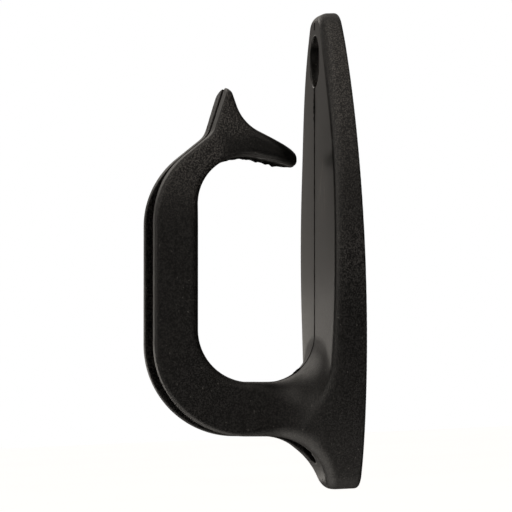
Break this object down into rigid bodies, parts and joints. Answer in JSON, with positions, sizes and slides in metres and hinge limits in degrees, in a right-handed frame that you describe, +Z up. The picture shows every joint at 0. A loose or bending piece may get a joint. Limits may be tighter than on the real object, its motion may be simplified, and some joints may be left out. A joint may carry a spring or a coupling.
{
  "type": "rope hook",
  "caption": "Wall or mast hook for rope: a lens-shaped back plate with a channel-section arm that curves up and in to a horn and an inward prong, fixed by screws through recesses.",
  "frame": {"origin": "middle of the flat back face, on the seam between the two halves", "axes": "+Z up along the back plate, +Y into the wall, so the arm reaches out along -Y, +X across the plate"},
  "size_m": [0.0398, 0.0384, 0.09],
  "materials": {
    "nylon": "black moulded nylon, fine spark-eroded texture with a soft satin sheen",
    "stainless": "turned stainless steel, dulled"
  },
  "bodies": {
    "root": {"left_half": "nylon", "right_half": "nylon", "upper_screw_bush": "stainless", "lower_screw_bush": "stainless"}
  },
  "joints": []
}
